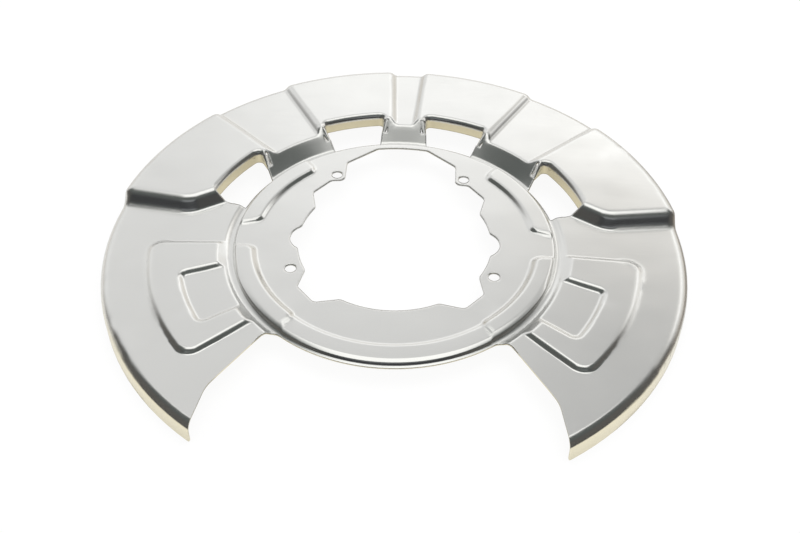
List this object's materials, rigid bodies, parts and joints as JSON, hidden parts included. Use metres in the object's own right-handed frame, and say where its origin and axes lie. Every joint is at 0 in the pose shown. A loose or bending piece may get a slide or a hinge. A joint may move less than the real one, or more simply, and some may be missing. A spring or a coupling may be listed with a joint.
{
  "type": "brake dust shield",
  "caption": "Stamped sheet-steel brake dust shield: flat hub ring with shaped opening and bolt holes inside a C-shaped splash rim with vent slots, ribs and a caliper gap.",
  "frame": {"origin": "on the hub axis, in the plane of the hub ring's upper face", "axes": "+Z along the hub axis towards the embossed side, +X to the right with the caliper gap towards -Y; mirror plane X = 0"},
  "size_m": [0.368, 0.3366, 0.0228],
  "materials": {
    "zinc_plated_sheet": "bright zinc plate, smooth"
  },
  "bodies": {
    "root": {"dust_shield": "zinc_plated_sheet"}
  },
  "joints": []
}
